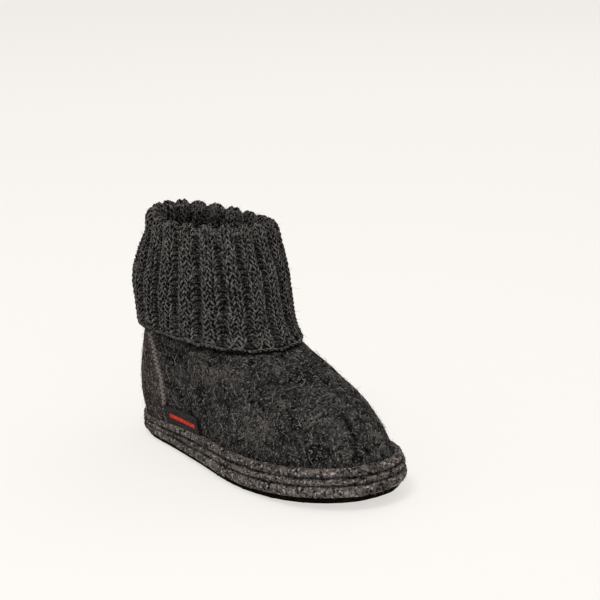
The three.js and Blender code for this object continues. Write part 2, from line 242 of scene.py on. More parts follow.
class Shader:
    """A node material with one Principled surface."""

    def __init__(self, name):
        self.material = bpy.data.materials.new(name)
        self.material.use_nodes = True
        self.tree = self.material.node_tree
        self.surface = self.tree.nodes["Principled BSDF"]

    def node(self, kind, settings, inputs, out=0):
        """Adds a node, sets it up, fills or links its inputs and gives one of its outputs."""
        made = self.tree.nodes.new(kind)
        for key, value in settings.items():
            setattr(made, key, value)
        for key, value in inputs.items():
            self.feed(made.inputs[key], value)
        return Socket(self, made.outputs[out])

    def feed(self, socket, value):
        if isinstance(value, Socket):
            self.tree.links.new(value.output, socket)
        elif isinstance(socket.default_value, (int, float)):
            socket.default_value = value
        else:
            wanted = tuple(value)
            short = len(socket.default_value) - len(wanted)
            socket.default_value = wanted + (1,) * short

    def finish(self, **values):
        """Sets or links the Principled surface's sockets, named with underlines for spaces."""
        for key, value in values.items():
            self.feed(self.surface.inputs[key.replace("_", " ")], value)
        return self.material

    def place(self):
        return self.node("ShaderNodeTexCoord", {}, {}, "Object")

    def mapped(self, vector, scale, turn=(0, 0, 0)):
        inputs = {"Vector": vector, "Scale": scale, "Rotation": turn}
        return self.node("ShaderNodeMapping", {}, inputs)

    def noise(self, vector, scale, detail=2, rough=0.5, distortion=0):
        inputs = {"Vector": vector, "Scale": scale, "Detail": detail, "Roughness": rough,
                  "Distortion": distortion}
        return self.node("ShaderNodeTexNoise", {}, inputs)

    def blend(self, share, first, second):
        """A colour between two, by a share from 0 to 1."""
        inputs = {"Factor": share, "A": first, "B": second}
        mix = self.tree.nodes.new("ShaderNodeMix")
        mix.data_type = "RGBA"
        named = {"Factor": mix.inputs[0], "A": mix.inputs[6], "B": mix.inputs[7]}
        for key, value in inputs.items():
            self.feed(named[key], value)
        return Socket(self, mix.outputs[2])

    def raised(self):
        """How far the relief lifts the surface, in millimetres."""
        settings = {"attribute_name": "raised"}
        return self.node("ShaderNodeAttribute", settings, {}, "Fac")

    def parts(self, vector):
        """The three numbers of a vector."""
        node = self.tree.nodes.new("ShaderNodeSeparateXYZ")
        self.feed(node.inputs[0], vector)
        return [Socket(self, output) for output in node.outputs]

    def bump(self, height, depth, strength=1):
        inputs = {"Height": height, "Distance": depth, "Strength": strength}
        return self.node("ShaderNodeBump", {}, inputs)

    def fibre_lines(self, vector, spread, fineness):
        """Curly fibres: thin bright lines where wandering noise crosses its middle, three ways over."""
        lines = None
        for turn in ((0.3, 0.2, 0.5), (1.4, 0.8, 2.1), (2.5, 1.9, 1.2)):
            turned = self.mapped(vector, (1 / spread, 0.55 / spread, 0.8 / spread), turn)
            wander = self.noise(turned, 1, 1, 0.5, 2.2)
            line = (1 - abs(wander - 0.5) * fineness).held()
            lines = line if lines is None else lines.larger(line)
        return lines


def smooth(value):
    share = np.clip(value, 0, 1)
    return share * share * (3 - 2 * share)


def table_at(table, positions):
    """Rows of a table at positions between its rows, on smooth curves through them."""
    last = len(table) - 1
    index = np.clip(np.floor(positions).astype(int), 0, last - 1)
    share = (positions - index)[..., None]
    before, start, end, after = (table[np.clip(index + step, 0, last)] for step in (-1, 0, 1, 2))
    slope_in, slope_out = (end - before) / 2, (after - start) / 2
    square, cube = share ** 2, share ** 3
    return (start * (2 * cube - 3 * square + 1) + slope_in * (cube - 2 * square + share)
            + end * (3 * square - 2 * cube) + slope_out * (cube - square))


def toe_lift(x):
    """How far the toe curls up off the floor at a place along the slipper."""
    along = (x - HEEL_X) / LAST_LENGTH
    return 2 * TOE_SPRING * smooth((along - TOE_BEND) / (2 * (1 - TOE_BEND)))


def band_height(x):
    along = (x - HEEL_X) / LAST_LENGTH
    return BAND_HEIGHT * (BAND_HEEL_SHARE + (1 - BAND_HEEL_SHARE) * smooth(along / BAND_FULL_STATION))


def only(piece):
    """Selects one object and nothing else."""
    for other in bpy.context.selected_objects:
        other.select_set(False)
    piece.select_set(True)
    bpy.context.view_layer.objects.active = piece


def apply_modifier(piece, kind, **settings):
    only(piece)
    bpy.ops.object.modifier_add(type=kind)
    modifier = piece.modifiers[-1]
    for key, value in settings.items():
        setattr(modifier, key, value)
    bpy.ops.object.modifier_apply(modifier=modifier.name)


def copied(node, name):
    """A copy of a CAD node as one closed skin, mostly of quads."""
    piece = bpy.data.objects.new(name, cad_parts[node].data.copy())
    bpy.context.collection.objects.link(piece)
    piece.data.materials.clear()
    only(piece)
    bpy.ops.mesh.customdata_custom_splitnormals_clear()
    bpy.ops.object.mode_set(mode="EDIT")
    bpy.ops.mesh.select_all(action="SELECT")
    bpy.ops.mesh.remove_doubles(threshold=0.005 * MM)
    bpy.ops.mesh.tris_convert_to_quads(face_threshold=math.radians(70), shape_threshold=math.radians(70))
    bpy.ops.object.mode_set(mode="OBJECT")
    return piece


def subdivided(piece, levels):
    apply_modifier(piece, "SUBSURF", levels=levels, render_levels=levels)


def refined_near(piece, place, reach, cuts):
    """Cuts a piece's faces near a place into smaller ones."""
    only(piece)
    bpy.ops.object.mode_set(mode="EDIT")
    bpy.ops.mesh.select_mode(type="FACE")
    bpy.ops.mesh.select_all(action="DESELECT")
    bpy.ops.object.mode_set(mode="OBJECT")
    for face in piece.data.polygons:
        face.select = (face.center - place).length < reach
    bpy.ops.object.mode_set(mode="EDIT")
    bpy.ops.mesh.subdivide(number_cuts=cuts)
    bpy.ops.object.mode_set(mode="OBJECT")


def points_of(piece):
    places = np.empty(3 * len(piece.data.vertices))
    piece.data.vertices.foreach_get("co", places)
    normals = np.empty_like(places)
    piece.data.vertex_normals.foreach_get("vector", normals)
    return places.reshape(-1, 3), normals.reshape(-1, 3)


def relief(piece, heights):
    """Moves each point of a piece out along its normal by a function's height, and keeps that in millimetres."""
    places, normals = points_of(piece)
    raised = heights(places, normals)
    places += normals * raised[:, None]
    places[:, 2] = np.maximum(places[:, 2], 0)
    piece.data.vertices.foreach_set("co", places.ravel())
    keep_raised(piece.data, raised)
    piece.data.update()


def lumps(places, size, seed):
    """Smooth noise from -1 to 1 at places, with lumps of a size."""
    offset = Vector((seed, 2 * seed, 3 * seed))
    return np.array([noise.noise(Vector(place) / size + offset) for place in places])


def surface_of(node):
    """A CAD node's surface, for rays and nearest points."""
    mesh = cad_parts[node].data
    return BVHTree.FromPolygons([v.co for v in mesh.vertices], [p.vertices for p in mesh.polygons])


def finished(piece, material, replaced=()):
    """Gives a piece its material and smooth shading, and lets it ride on the slipper."""
    piece.data.materials.clear()
    piece.data.materials.append(material)
    only(piece)
    bpy.ops.object.shade_smooth()
    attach(piece, "root")
    if replaced:
        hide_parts(*replaced)
    return piece


def keep_raised(mesh, raised):
    """Keeps how far each point is raised, in millimetres, for the materials, which paint shade where it sinks."""
    kept = mesh.attributes.new("raised", "FLOAT", "POINT")
    kept.data.foreach_set("value", (raised / MM).astype(np.float32))


def mesh_piece(name, points, faces, uvs=None, raised=None):
    """A new object from arrays of points and of faces that all have as many corners."""
    mesh = bpy.data.meshes.new(name)
    corners = faces.shape[1]
    mesh.vertices.add(len(points))
    mesh.vertices.foreach_set("co", points.astype(np.float32).ravel())
    mesh.loops.add(faces.size)
    mesh.loops.foreach_set("vertex_index", faces.astype(np.int32).ravel())
    mesh.polygons.add(len(faces))
    mesh.polygons.foreach_set("loop_start", np.arange(0, faces.size, corners, dtype=np.int32))
    mesh.update(calc_edges=True)
    if uvs is not None:
        layer = mesh.uv_layers.new(name="yarn")
        layer.data.foreach_set("uv", uvs.astype(np.float32).ravel())
    if raised is not None:
        keep_raised(mesh, raised)
    mesh.validate()
    piece = bpy.data.objects.new(name, mesh)
    bpy.context.collection.objects.link(piece)
    return piece


def camera_axes():
    """The camera's place, and its right, up and back directions, aimed so that the target falls on its pixel."""
    flat, rise = math.cos(CAMERA_RISE), math.sin(CAMERA_RISE)
    back = Vector((math.sin(CAMERA_AZIMUTH) * flat, -math.cos(CAMERA_AZIMUTH) * flat, rise))
    place = TARGET + back * CAMERA_DISTANCE
    for _ in range(4):
        turn = back.to_track_quat("Z", "Y").to_matrix()
        right, up, back = turn.col[0].copy(), turn.col[1].copy(), turn.col[2].copy()
        seen = TARGET - place
        depth = -seen.dot(back)
        across = seen.dot(right) / depth * CAMERA_FOCAL
        above = seen.dot(up) / depth * CAMERA_FOCAL
        error_x = across - (TARGET_PIXEL[0] - PICTURE / 2)
        error_y = above - (PICTURE / 2 - TARGET_PIXEL[1])
        back = (back - right * error_x / CAMERA_FOCAL - up * error_y / CAMERA_FOCAL).normalized()
    return place, right, up, back


def seen_on(surface, pixel):
    """Where a pixel of the photograph falls on a surface."""
    place, right, up, back = camera_axes()
    ray = right * (pixel[0] - PICTURE / 2) + up * (PICTURE / 2 - pixel[1]) - back * CAMERA_FOCAL
    hit = surface.ray_cast(place, ray.normalized())[0]
    if hit is None:
        raise RuntimeError(f"pixel {pixel} misses the slipper")
    return hit


def trough(places, line, width, depth):
    """A soft trough along a line of points, deepest on it."""
    nearest = np.full(len(places), np.inf)
    line = [np.array(point) for point in line]
    for start, end in zip(line, line[1:]):
        span = end - start
        share = np.clip((places - start) @ span / (span @ span), 0, 1)
        away = np.linalg.norm(places - start - share[:, None] * span, axis=1)
        nearest = np.minimum(nearest, away)
    return -depth * np.exp(-(nearest / width) ** 2)


# Creases of the upper: the photograph's pixels that each passes through, its width and its depth,
# which is negative for a ridge
UPPER_CREASES = (
    {"pixels": ((204, 413), (206, 425), (208, 437)), "width": 1.2 * MM, "depth": 1.6 * MM},
    {"pixels": ((347, 417), (351, 427), (356, 438)), "width": 1.1 * MM, "depth": 1.9 * MM},
    {"pixels": ((330, 404), (341, 414), (347, 424)), "width": 3.5 * MM, "depth": 0.7 * MM},
    {"pixels": ((338, 395), (350, 404), (362, 419)), "width": 4 * MM, "depth": -0.8 * MM},
    {"pixels": ((250, 372), (275, 384), (300, 398)), "width": 6 * MM, "depth": 0.8 * MM},
    {"pixels": ((290, 362), (308, 376), (322, 392)), "width": 5 * MM, "depth": -0.7 * MM},
    {"pixels": ((180, 372), (205, 392), (238, 405)), "width": 7 * MM, "depth": 0.9 * MM},
    {"pixels": ((215, 420), (255, 432), (300, 440)), "width": 6 * MM, "depth": -0.6 * MM},
    {"pixels": ((196, 352), (230, 360), (262, 366)), "width": 4 * MM, "depth": -0.6 * MM},
)
# The same on the inner side, as places along the slipper and heights, on which a ray from that side falls
INNER_CREASES = (
    {"sides": ((-62, 52), (-30, 44), (0, 42)), "width": 6 * MM, "depth": 0.9 * MM},
    {"sides": ((-20, 30), (10, 27), (38, 28)), "width": 7 * MM, "depth": -0.7 * MM},
    {"sides": ((-66, 36), (-52, 26), (-34, 20)), "width": 5 * MM, "depth": 0.6 * MM},
)


def from_inner_side(surface, x, z):
    """Where a level ray from the slipper's inner side meets a surface."""
    start = Vector((x * MM, 0.2, z * MM))
    return surface.ray_cast(start, Vector((0, -1, 0)))[0]


DEEPEST_DIP = 2.1 * MM


def outer_face(places, ways):
    """True on the upper's outside, and not on its inside or its lower edge."""
    middle = np.zeros_like(places)
    middle[:, 0] = np.clip(places[:, 0], -0.05, 0.05)
    middle[:, 2] = 0.02
    return (np.sum((places - middle) * ways, axis=1) > 0) & (ways[:, 2] > -0.7)


def upper_heights(sizes):
    surface = surface_of("upper")
    lines = [([seen_on(surface, pixel) for pixel in crease["pixels"]], crease) for crease in UPPER_CREASES]
    for crease in INNER_CREASES:
        lines.append(([from_inner_side(surface, *side) for side in crease["sides"]], crease))
    under_hem = hem_ring(surface, np.linspace(0, 2 * math.pi, 49), 0) - (0, 0, 2 * MM)
    lines.append((under_hem, {"width": 2.2 * MM, "depth": 2 * MM}))

    def heights(places, normals):
        depth = sizes.felt_relief
        soft = 0.8 * lumps(places, 16 * MM, 3) + 0.35 * lumps(places, 6 * MM, 8)
        fine = 0.22 * lumps(places, 2.4 * MM, 5)
        total = depth * (soft + fine)
        for line, crease in lines:
            total += trough(places, line, crease["width"], crease["depth"])
        return np.maximum(total, -DEEPEST_DIP) * outer_face(places, normals)

    return heights


SEAM_FOOT = -47.8 * MM
SEAM_SLOPE = -0.155
SEAM_FOOT_HEIGHT = 13 * MM


def seam_x(z):
    """Where the heel seams run, by height: they lean back as they climb."""
    return SEAM_FOOT + SEAM_SLOPE * (z - SEAM_FOOT_HEIGHT)


def felt_material(name, dark, light, grain_size=1 * MM, heel=None, tint=None, rough_bump=1.0, dip_shade=0.48):
    """Boiled wool: black and grey fibres felted into a mottled, matt tangle, with painted shade where it dips."""
    shader = Shader(name)
    place = shader.place()
    broad = shader.noise(place, 80, 2, 0.5)
    mottle = shader.noise(place, 0.35 / grain_size, 2, 0.6)
    grain = shader.noise(place, 0.75 / grain_size, 1, 0.5)
    speck = shader.noise(shader.mapped(place, (1, 1, 1), (0.7, 0.4, 1.1)), 0.85 / grain_size, 1, 0.5)
    fibres = shader.fibre_lines(place, 1.9 * grain_size, 13)
    strong = shader.fibre_lines(place, 5 * grain_size, 26)
    ground = dark
    if heel is not None:
        x, _, z = shader.parts(place)
        behind = ((SEAM_FOOT - x + (z - SEAM_FOOT_HEIGHT) * SEAM_SLOPE) * (1 / (1.5 * MM))).held()
        ground = shader.blend(behind, dark, heel)
    if tint is not None:
        ground = shader.blend(((broad - 0.5) * 5).held(), ground, tint)
    black = tuple(0.04 * part for part in dark)
    ground = shader.blend(((grain - 0.5) * 10 + (mottle - 0.5) * 1.2 + 0.4).held(), black, ground)
    share = fibres * ((mottle - 0.42) * 4).held() * 0.3 + strong * ((broad - 0.35) * 3).held() * 0.6
    if heel is not None:
        ridge = ((1 - abs(x - SEAM_FOOT - (z - SEAM_FOOT_HEIGHT) * SEAM_SLOPE) * (1 / (2.6 * MM))) * 2).held()
        share = share + ridge * ((mottle - 0.3) * 2).held() * 0.4
    colour = shader.blend(share.held(), ground, light)
    colour = shader.blend(((speck - 0.59) * 9).held() * 0.9, colour, light)
    # Painted shade: the felt darkens where the relief sinks into creases, troughs and grooves.
    colour = shader.blend((shader.raised() * -dip_shade - dip_shade / 4).held() * 0.9, colour, black)
    height = fibres * 0.5 + strong * 0.4 + grain * 1.1 + mottle * 0.9
    normal = shader.bump(height, 0.5 * MM * rough_bump, 1)
    return shader.finish(Base_Color=colour, Roughness=1, Normal=normal, Specular_IOR_Level=0.01)


def slipper_sizes(context):
    return context.scene.slipper_sizes


def slipper_colours(context):
    return context.scene.slipper_colours


class SLIPPER_OT_upper(bpy.types.Operator):
    """The felt upper, with its soft folds and the dent over the toe"""

    bl_idname = "slipper.upper"
    bl_label = "Felt upper"

    def execute(self, context):
        sizes, colours = slipper_sizes(context), slipper_colours(context)
        piece = copied("upper", "felt_upper")
        subdivided(piece, 2)
        refined_near(piece, seen_on(surface_of("upper"), (351, 427)), 14 * MM, 3)
        refined_near(piece, seen_on(surface_of("upper"), (206, 425)), 8 * MM, 2)
        relief(piece, upper_heights(sizes))
        felt = felt_material("upper_felt", colours.upper, colours.upper_fibre, heel=colours.heel)
        finished(piece, felt, ["upper"])
        return {"FINISHED"}


def sole_heights(sizes):
    """Lumps of the coarse felt, in short bundles along the top ridge."""

    def heights(places, normals):
        x, z = places[:, 0], places[:, 2]
        rise = (z - toe_lift(x) - BAND_FOOT) / band_height(x)
        outside = smooth((np.hypot(normals[:, 0], normals[:, 1]) - 0.2) / 0.4) * smooth(rise / 0.08)
        bundles = lumps(places * (1, 1, 0.5), 2.8 * MM, 11)
        coarse = lumps(places, 2.1 * MM, 4)
        slow = lumps(places, 11 * MM, 7)
        crest = smooth((rise - 0.74) / 0.1)
        rough = sizes.sole_relief * (0.9 * coarse + 0.7 * slow + 1.5 * crest * bundles)
        wander = 0.012 * lumps(places, 9 * MM, 13)
        for groove in GROOVE_RISES:
            rough = rough - sizes.groove_depth * np.exp(-((rise - groove - wander) / 0.034) ** 2)
        return outside * rough

    return heights


class SLIPPER_OT_sole(bpy.types.Operator):
    """The felt sole, turned up into its band of three lumpy ridges"""

    bl_idname = "slipper.sole"
    bl_label = "Felt sole"

    def execute(self, context):
        sizes, colours = slipper_sizes(context), slipper_colours(context)
        piece = copied("felt_sole", "felt_sole_band")
        subdivided(piece, 3)
        relief(piece, sole_heights(sizes))
        felt = felt_material("sole_felt", colours.sole, colours.sole_fibre, grain_size=1.15 * MM,
                             tint=colours.sole_tint, rough_bump=1.5, dip_shade=1.1)
        finished(piece, felt, ["felt_sole"])
        return {"FINISHED"}


class SLIPPER_OT_insole(bpy.types.Operator):
    """The insole, trodden a little at the heel and ball"""

    bl_idname = "slipper.insole"
    bl_label = "Insole"

    def execute(self, context):
        colours = slipper_colours(context)
        piece = copied("insole", "felt_insole")
        apply_modifier(piece, "REMESH", mode="VOXEL", voxel_size=1.1 * MM)
        low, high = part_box("insole")

        def trodden(places, normals):
            top = smooth((places[:, 2] - (low.z + high.z) / 2) / (1.5 * MM)) * smooth(normals[:, 2])
            heel = trough(places, [(-0.066, 0, 0.009), (-0.045, 0, 0.009)], 13 * MM, 0.9 * MM)
            ball = trough(places, [(0.022, -0.012, 0.01), (0.03, 0.012, 0.01)], 14 * MM, 0.6 * MM)
            return top * (heel + ball + 0.15 * MM * lumps(places, 4 * MM, 2))

        relief(piece, trodden)
        felt = felt_material("insole_felt", (0.05, 0.046, 0.043), (0.16, 0.15, 0.14), rough_bump=0.6)
        finished(piece, felt, ["insole"])
        return {"FINISHED"}


class SLIPPER_OT_outsole(bpy.types.Operator):
    """The thin dark outsole, with a worn ragged edge"""

    bl_idname = "slipper.outsole"
    bl_label = "Outsole"

    def execute(self, context):
        colours = slipper_colours(context)
        piece = copied("outsole", "grained_outsole")
        apply_modifier(piece, "BEVEL", width=0.6 * MM, segments=2, limit_method="ANGLE", angle_limit=0.7)
        apply_modifier(piece, "SUBSURF", subdivision_type="SIMPLE", levels=3, render_levels=3)

        def ragged(places, normals):
            edge = smooth((np.hypot(normals[:, 0], normals[:, 1]) - 0.5) / 0.3)
            return edge * MM * (0.9 * lumps(places, 2.6 * MM, 6) + 0.6 * lumps(places, 6 * MM, 9) - 0.4)

        relief(piece, ragged)
        shader = Shader("outsole_rubber")
        place = shader.place()
        grain = shader.noise(place, 1300, 3, 0.6)
        dust = shader.noise(place, 420, 3, 0.6)
        worn = ((dust - 0.5) * 4).held() * 0.7
        colour = shader.blend(worn, colours.outsole, (0.02, 0.013, 0.008))
        normal = shader.bump(grain, 0.3 * MM, 0.7)
        rubber = shader.finish(Base_Color=colour, Roughness=0.9, Normal=normal, Specular_IOR_Level=0.05)
        finished(piece, rubber, ["outsole"])
        bpy.ops.object.shade_smooth_by_angle(angle=math.radians(35))
        return {"FINISHED"}


def hem_ring(surface, turns, lie=1):
    """The flap's hem, a little off the felt or on it where lie is 0, at turns round the leg."""
    points = []
    for turn in turns:
        along = (1 + math.cos(turn)) / 2
        ends = HEM_BACK + (HEM_FRONT - HEM_BACK) * along
        height = ends + (HEM_SIDE - ends) * math.sin(turn) ** 2
        centre = Vector((HEEL_X + COLLAR_LENGTH / 2, MIDDLE_Y, height))
        out = Vector((COLLAR_LENGTH / 2 * math.cos(turn), COLLAR_HALF_WIDTH * math.sin(turn), 0)) * 1.08
        away = Vector((math.cos(turn) / COLLAR_LENGTH * 2, math.sin(turn) / COLLAR_HALF_WIDTH, 0)).normalized()
        hit = surface.ray_cast(centre + out + away * 0.03, -away)[0]
        snug = HEM_FRONT_SNUG * along ** 4 + HEM_BACK_SNUG * float(smooth((0.4 - along) / 0.3))
        points.append(hit + away * (HEM_LIE - snug) * lie)
    return np.array(points)


class CuffSurface:
    """The middle of the cuff's knit, by turn round the leg and fold from the collar seam to the hem."""

    def __init__(self):
        self.ring_turns = np.linspace(0, 2 * math.pi, 97)
        self.hem = hem_ring(surface_of("upper"), self.ring_turns)
        positions = np.linspace(0, 1, 600)
        places = self.places(np.linspace(0, 2 * math.pi, 24, endpoint=False)[:, None], positions[None, :])
        steps = np.linalg.norm(np.diff(places, axis=1), axis=2).mean(axis=0)
        self.lengths = np.concatenate([[0], np.cumsum(steps)])
        self.positions = positions
        self.length = self.lengths[-1]

    def places(self, turns, folds):
        turns, folds = np.broadcast_arrays(turns, folds)
        row = dict(zip(CUFF_COLUMNS, np.moveaxis(table_at(CUFF_FOLDS, folds * (len(CUFF_FOLDS) - 1)), -1, 0)))
        along = (1 + np.cos(turns)) / 2
        centre = HEEL_X + COLLAR_LENGTH * (0.5 + row["shift"])
        x = centre + COLLAR_LENGTH / 2 * row["length"] * np.cos(turns)
        y = MIDDLE_Y + COLLAR_HALF_WIDTH * row["width"] * np.sin(turns)
        collar = COLLAR_BACK + (COLLAR_FRONT - COLLAR_BACK) * along
        rise = CUFF_STAND * (row["back"] + (row["front"] - row["back"]) * along)
        dip = RIM_DIP * np.sin(turns) ** 2 + RIM_TILT * np.sin(turns)
        z = collar + rise - smooth(row["back"]) * dip
        wrapped = np.mod(turns, 2 * math.pi)
        hem = np.stack([np.interp(wrapped, self.ring_turns, self.hem[:, i]) for i in range(3)], axis=-1)
        free = np.stack([x, y, z], axis=-1)
        return free + (hem - free) * row["hug"][..., None]

    def faces_out(self, turns, folds):
        """Which way the face that shows looks: into the leg on the inner layer, away on the flap."""
        step = 1e-3
        across = self.places(turns + step, folds) - self.places(turns - step, folds)
        up = self.places(turns, np.minimum(1, folds + step)) - self.places(turns, np.maximum(0, folds - step))
        out = np.cross(up, across)
        return out / np.linalg.norm(out, axis=-1, keepdims=True)

    def folds_at(self, lengths):
        """Folds at lengths of knit from the collar seam."""
        return np.interp(lengths, self.lengths, self.positions)

    def ribs(self, folds):
        return np.interp(folds * (len(CUFF_FOLDS) - 1), np.arange(len(CUFF_FOLDS)), CUFF_FOLDS[:, 6])


def turn_of(wales):
    """The turn round the leg at a wale: the two knit wales of a rib are wider than the two purl ones."""
    ribs = wales / 4
    warp = 0.6 / (2 * math.pi) * np.sin(2 * math.pi * (ribs - 0.25))
    return 2 * math.pi * (ribs + warp + 0.25) / RIB_COUNT


def rib_wave(wales):
    """1 in the middle of a rib's knit wales and -1 in the middle of its purl ones."""
    return np.sin(2 * math.pi * wales / 4)


def tubes(paths, normals, radii, sides):
    """Points, faces and UVs of closed yarns round closed paths: arrays of yarns by steps by three."""
    lengths = np.cumsum(np.linalg.norm(np.roll(paths, -1, axis=1) - paths, axis=2), axis=1)
    ahead, behind = np.roll(paths, -1, axis=1), np.roll(paths, 1, axis=1)
    along = ahead - behind
    along /= np.linalg.norm(along, axis=2, keepdims=True)
    side = np.cross(along, normals)
    side /= np.linalg.norm(side, axis=2, keepdims=True)
    top = np.cross(side, along)
    angle = 2 * math.pi * np.arange(sides) / sides
    ring = (np.cos(angle)[:, None] * top[:, :, None] + np.sin(angle)[:, None] * side[:, :, None])
    points = paths[:, :, None] + radii[:, :, None, None] * ring
    yarns, steps = paths.shape[:2]
    index = np.arange(yarns * steps * sides).reshape(yarns, steps, sides)
    after, beside = np.roll(index, -1, axis=1), np.roll(index, -1, axis=2)
    corner = np.roll(after, -1, axis=2)
    faces = np.stack([index, beside, corner, after], axis=-1).reshape(-1, 4)
    u = np.concatenate([lengths, lengths[:, :1] + (lengths[:, -1:] * steps / (steps - 1))], axis=1)
    start = np.broadcast_to(u[:, :-1, None], index.shape)
    end = np.broadcast_to(u[:, 1:, None], index.shape)
    low = np.broadcast_to(np.arange(sides) / sides, index.shape)
    high = low + 1 / sides
    uvs = np.stack([np.stack([start, low], -1), np.stack([start, high], -1), np.stack([end, high], -1),
                    np.stack([end, low], -1)], axis=-2)
    return points.reshape(-1, 3), faces, uvs.reshape(-1, 2)


LOOP_SPREAD = 1.8
LOOP_RISE = 0.8
EDGE_STEPS = 8


def knit_courses(cuff, first, count, steps, sides, sizes, random):
    """Yarn loops of some courses of two by two rib, as points, faces and UVs."""
    pitch = cuff.length / COURSES
    time = 2 * math.pi * np.arange(WALES * steps) / steps
    wale = np.floor(time / (2 * math.pi) + 1e-9)
    share = time / (2 * math.pi) - wale

    def side(index):
        return np.where(np.mod(index, 4) < 2, 1.0, -1.0)

    facing = side(wale)
    facing = facing + (side(wale + 1) - side(wale)) * 0.5 * smooth((share - 0.75) / 0.25)
    facing = facing + (side(wale - 1) - side(wale)) * 0.5 * smooth((0.25 - share) / 0.25)
    courses = first + np.arange(count)
    unsteady = random.normal(0, 0.1, (count, WALES))[:, wale.astype(int)]
    swing = np.stack([[noise.noise(Vector((0.11 * w, 0.37 * c, 4.2))) for w in time / (2 * math.pi)]
                      for c in courses])
    swing *= np.minimum(1, np.minimum(time, time[-1] - time) / (4 * math.pi))
    wales = (time + (LOOP_SPREAD + unsteady) * np.sin(2 * time)) / (2 * math.pi) + 0.45 * swing
    lengths = (courses[:, None] + 0.5 + LOOP_RISE * (1 + unsteady) * np.cos(time) + 0.4 * swing) * pitch
    folds = cuff.folds_at(np.clip(lengths, 0, cuff.length))
    turns = turn_of(wales)
    out = cuff.faces_out(turns, folds)
    rib = sizes.rib_depth / 2 * cuff.ribs(folds) * rib_wave(wales)
    depth = -facing * sizes.stitch_depth * np.cos(2 * time)
    paths = cuff.places(turns, folds) + out * (rib + depth)[..., None]
    fuller = 1 + 0.22 * smooth((courses - COURSES + 4.5) / 2)
    radii = sizes.yarn_radius * fuller[:, None] * (1 + 0.13 * random.normal(0, 1, paths.shape[:2]))
    return *tubes(paths, out, radii, sides), np.repeat((rib + depth).ravel(), sides)


def cast_on_edge(cuff, sizes):
    """The hem's edge: two strands twisted round each other, a turn for each wale."""
    wales = np.arange(WALES * EDGE_STEPS) / EDGE_STEPS
    turns, folds = turn_of(wales), np.ones(len(wales))
    out = cuff.faces_out(turns, folds)
    down = cuff.places(turns, folds) - cuff.places(turns, folds - 1e-3)
    down /= np.linalg.norm(down, axis=-1, keepdims=True)
    rib = sizes.rib_depth / 2 * cuff.ribs(folds) * rib_wave(wales)
    centre = cuff.places(turns, folds) + out * rib[:, None]
    strands = []
    for start in (0, math.pi):
        twist = (2 * math.pi * wales + start)[:, None]
        strands.append(centre + 0.8 * sizes.yarn_radius * (np.cos(twist) * out + np.sin(twist) * down))
    paths = np.stack(strands)
    radii = np.full(paths.shape[:2], sizes.yarn_radius)
    return *tubes(paths, np.stack([out, out]), radii, 6), np.tile(np.repeat(rib, 6), 2)


def yarn_material(name, colours, shade_lift):
    """Plied woollen yarn: dark, with light fibres wound along its twist, and painted shade down in the knit and on
    each strand's sides.
    """
    shader = Shader(name)
    uv = shader.node("ShaderNodeUVMap", {"uv_map": "yarn"}, {})
    along, around, _ = shader.parts(uv)
    place = shader.place()
    plies = (along * (2 * math.pi / (2.2 * MM)) + around * (4 * math.pi)).sine() * 0.5 + 0.5
    grain = shader.noise(place, 1500, 2, 0.7)
    mottle = shader.noise(place, 480, 3, 0.65)
    broad = shader.noise(place, 90, 2, 0.5)
    fibres = shader.fibre_lines(place, 1.1 * MM, 7)
    # Painted shade: each strand lit on its crown and darkened on its sides, and the loops darkened the deeper they
    # lie in the knit.
    crown = (around * (2 * math.pi) + math.pi / 2).sine() * 1.25 - 0.25
    deep = ((shader.raised() + shade_lift) * 0.65).held()
    black = tuple(0.04 * part for part in colours.yarn)
    lit = crown.held() * (deep * 0.92 + 0.08)
    ground = shader.blend((lit * (plies * 0.4 + (grain - 0.45) * 5 + 0.25)).held(), black, colours.yarn)
    share = (fibres * ((mottle - 0.4) * 5).held() * (0.3 + broad * 0.8)).held()
    colour = shader.blend(share * lit, ground, colours.yarn_fibre)
    flecks = ((shader.noise(place, 900, 1, 0.5) - 0.57) * 10).held() * 0.6
    colour = shader.blend(flecks * (lit * 0.7 + 0.3), colour, colours.yarn_fibre)
    height = plies * 0.8 + fibres * 0.5 + grain * 0.8
    normal = shader.bump(height, 0.3 * MM, 1)
    return shader.finish(Base_Color=colour, Roughness=1, Normal=normal, Specular_IOR_Level=0.02)


def shade_sheet(cuff, colours, sizes):
    """A dark thin sheet behind the loops, through which no light shows: painted shade standing in for the shadow in
    the gaps between them.
    """
    wales = np.arange(2 * WALES) / 2
    rows = 50
    folds = cuff.folds_at(np.linspace(0, cuff.length, rows))
    turns = turn_of(wales)[None, :] * np.ones((rows, 1))
    spread = folds[:, None] * np.ones_like(turns)
    out = cuff.faces_out(turns, spread)
    rib = sizes.rib_depth / 2 * cuff.ribs(spread) * rib_wave(wales)[None, :]
    middle = cuff.places(turns, spread) + out * rib[..., None]
    half = 0.15 * MM
    sheet = np.concatenate([middle + out * half, (middle - out * half)[::-1]])
    count, columns = sheet.shape[:2]
    index = np.arange(count * columns).reshape(count, columns)
    above, beside = np.roll(index, -1, axis=0), np.roll(index, -1, axis=1)
    corner = np.roll(above, -1, axis=1)
    faces = np.stack([index, above, corner, beside], axis=-1).reshape(-1, 4)
    piece = mesh_piece("cuff_shade_sheet", sheet.reshape(-1, 3), faces)
    shader = Shader("cuff_shade_sheet_dark")
    grain = shader.noise(shader.place(), 1500, 2, 0.6)
    # Near-black painted shade, with a little grain.
    colour = shader.blend(grain, (0.004, 0.0035, 0.0035), (0.014, 0.012, 0.012))
    return finished(piece, shader.finish(Base_Color=colour, Roughness=1, Specular_IOR_Level=0))


